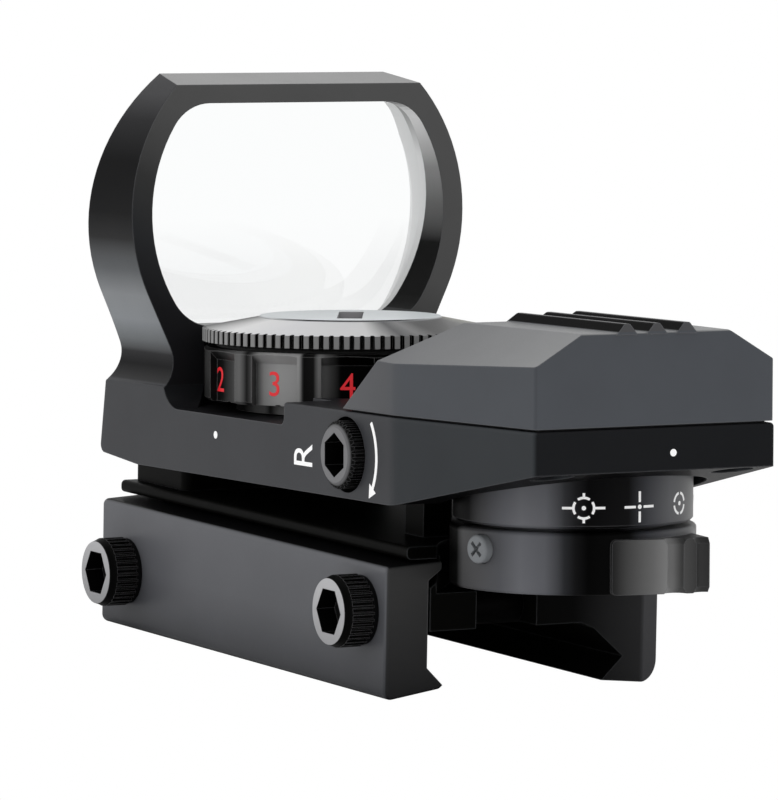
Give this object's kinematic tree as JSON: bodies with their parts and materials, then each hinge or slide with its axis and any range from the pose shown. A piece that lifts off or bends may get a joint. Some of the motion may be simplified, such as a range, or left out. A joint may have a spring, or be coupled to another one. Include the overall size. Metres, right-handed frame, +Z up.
{
  "type": "open reflex red dot finder",
  "caption": "Open reflex red dot finder: hooded tilted lens, brightness dial over a coin cell, reticle selector lever, screw adjusters and a rail clamp.",
  "frame": {"origin": "middle of the clamp's length and of the rail groove, on the plane that rests on the rail", "axes": "+X to the user's right, +Y forwards along the sight line, +Z up"},
  "size_m": [0.0368, 0.0797, 0.0546],
  "materials": {
    "black_housing": "satin black anodised aluminium",
    "black_clamp": "satin black anodised aluminium",
    "black_steel": "black oxide",
    "bright_steel": "plain steel",
    "dial_metal": "satin black, knurled",
    "lens_glass": "polished, coated",
    "window_glass": "polished",
    "mirror": "first surface",
    "seal_rubber": "matte",
    "board": "solder mask",
    "red_lamp": "clear red resin",
    "wire_red": "soft insulation",
    "cell_steel": "nickel plated",
    "contact_brass": "plain",
    "black_plastic": "moulded"
  },
  "bodies": {
    "base": {"mount_base": "black_clamp", "retaining_screw": "black_steel", "elevation_spring": "bright_steel", "windage_spring": "bright_steel"},
    "clamp": {"clamp_plate": "black_clamp", "clamp_washers": "black_steel"},
    "front_clamp_screw": {"clamp_screw_front": "black_steel"},
    "rear_clamp_screw": {"clamp_screw_rear": "black_steel"},
    "swing": {"pivot_block": "black_housing", "windage_pivot_pin": "black_steel"},
    "optic": {"main_body": "black_housing", "lens": "lens_glass", "lens_seal": "seal_rubber", "emitter_cover": "black_housing", "cover_seal": "seal_rubber", "cover_screws": "black_steel", "emitter_window": "window_glass", "emitter_mirror": "mirror", "mirror_holder": "black_plastic", "led_board": "board", "led": "red_lamp", "lead_wires": "wire_red", "switch_board": "board", "dial_spindle": "bright_steel", "dial_retaining_ring": "bright_steel", "dial_detent_ball": "bright_steel", "dial_detent_spring": "bright_steel", "selector_detent_ball": "bright_steel", "selector_detent_spring": "bright_steel", "elevation_hinge_pin": "bright_steel"},
    "dial": {"brightness_dial": "dial_metal", "dial_wiper": "contact_brass", "battery_contact": "contact_brass", "battery": "cell_steel"},
    "cap": {"battery_cap": "dial_metal", "battery_cap_seal": "seal_rubber"},
    "selector": {"selector_drum": "dial_metal", "selector_lever": "dial_metal", "selector_lever_screw": "bright_steel", "selector_axle": "bright_steel", "selector_circlip": "bright_steel", "reticle_disc": "black_plastic"},
    "windage_adjuster": {"windage_screw": "black_steel"},
    "elevation_adjuster": {"elevation_screw": "black_steel"}
  },
  "joints": [
    {"name": "clamp_slide", "type": "slide", "parent": "base", "child": "clamp", "axis": [-1, 0, 0], "range_m": [0, 0.0028]},
    {"name": "front_clamp_screw_turn", "type": "hinge", "parent": "clamp", "child": "front_clamp_screw", "pos_m": [-0.0165, 0.0231, -0.0004], "axis": [-1, 0, 0], "range_deg": [0, 1440]},
    {"name": "rear_clamp_screw_turn", "type": "hinge", "parent": "clamp", "child": "rear_clamp_screw", "pos_m": [-0.0165, -0.0243, 0.0017], "axis": [-1, 0, 0], "range_deg": [0, 1440]},
    {"name": "windage_swing", "type": "hinge", "parent": "base", "child": "swing", "pos_m": [0, 0.0228, 0.008], "axis": [0, 0, 1], "range_deg": [-0.65, 0.65]},
    {"name": "elevation_tilt", "type": "hinge", "parent": "swing", "child": "optic", "pos_m": [0, 0.0235, 0.0123], "axis": [1, 0, 0], "range_deg": [-0.73, 0.73]},
    {"name": "windage_screw_turn", "type": "hinge", "parent": "optic", "child": "windage_adjuster", "pos_m": [-0.0145, -0.02126, 0.01567], "axis": [1, 0, 0], "range_deg": [-360, 360]},
    {"name": "elevation_screw_turn", "type": "hinge", "parent": "optic", "child": "elevation_adjuster", "pos_m": [0.011, -0.01517, 0.01869], "axis": [0, -0.0298, -0.9996], "range_deg": [-360, 360]},
    {"name": "brightness_turn", "type": "hinge", "parent": "optic", "child": "dial", "pos_m": [0, 0.00537, 0.01958], "axis": [0, 0.0298, 0.9996], "range_deg": [-270, 60]},
    {"name": "battery_cap_lift", "type": "slide", "parent": "dial", "child": "cap", "axis": [0, 0.0298, 0.9996], "range_m": [0, 0.007]},
    {"name": "selector_turn", "type": "hinge", "parent": "optic", "child": "selector", "pos_m": [0.0012, -0.03462, 0.01377], "axis": [0, 0.0298, 0.9996], "range_deg": [-56, 28]}
  ],
  "couplings": [
    {"joint": "front_clamp_screw_turn", "follows": "clamp_slide", "rad_per_m": 8975.9},
    {"joint": "rear_clamp_screw_turn", "follows": "clamp_slide", "rad_per_m": 8975.9},
    {"joint": "windage_screw_turn", "follows": "windage_swing", "ratio": -556.64},
    {"joint": "elevation_screw_turn", "follows": "elevation_tilt", "ratio": -491.76}
  ]
}
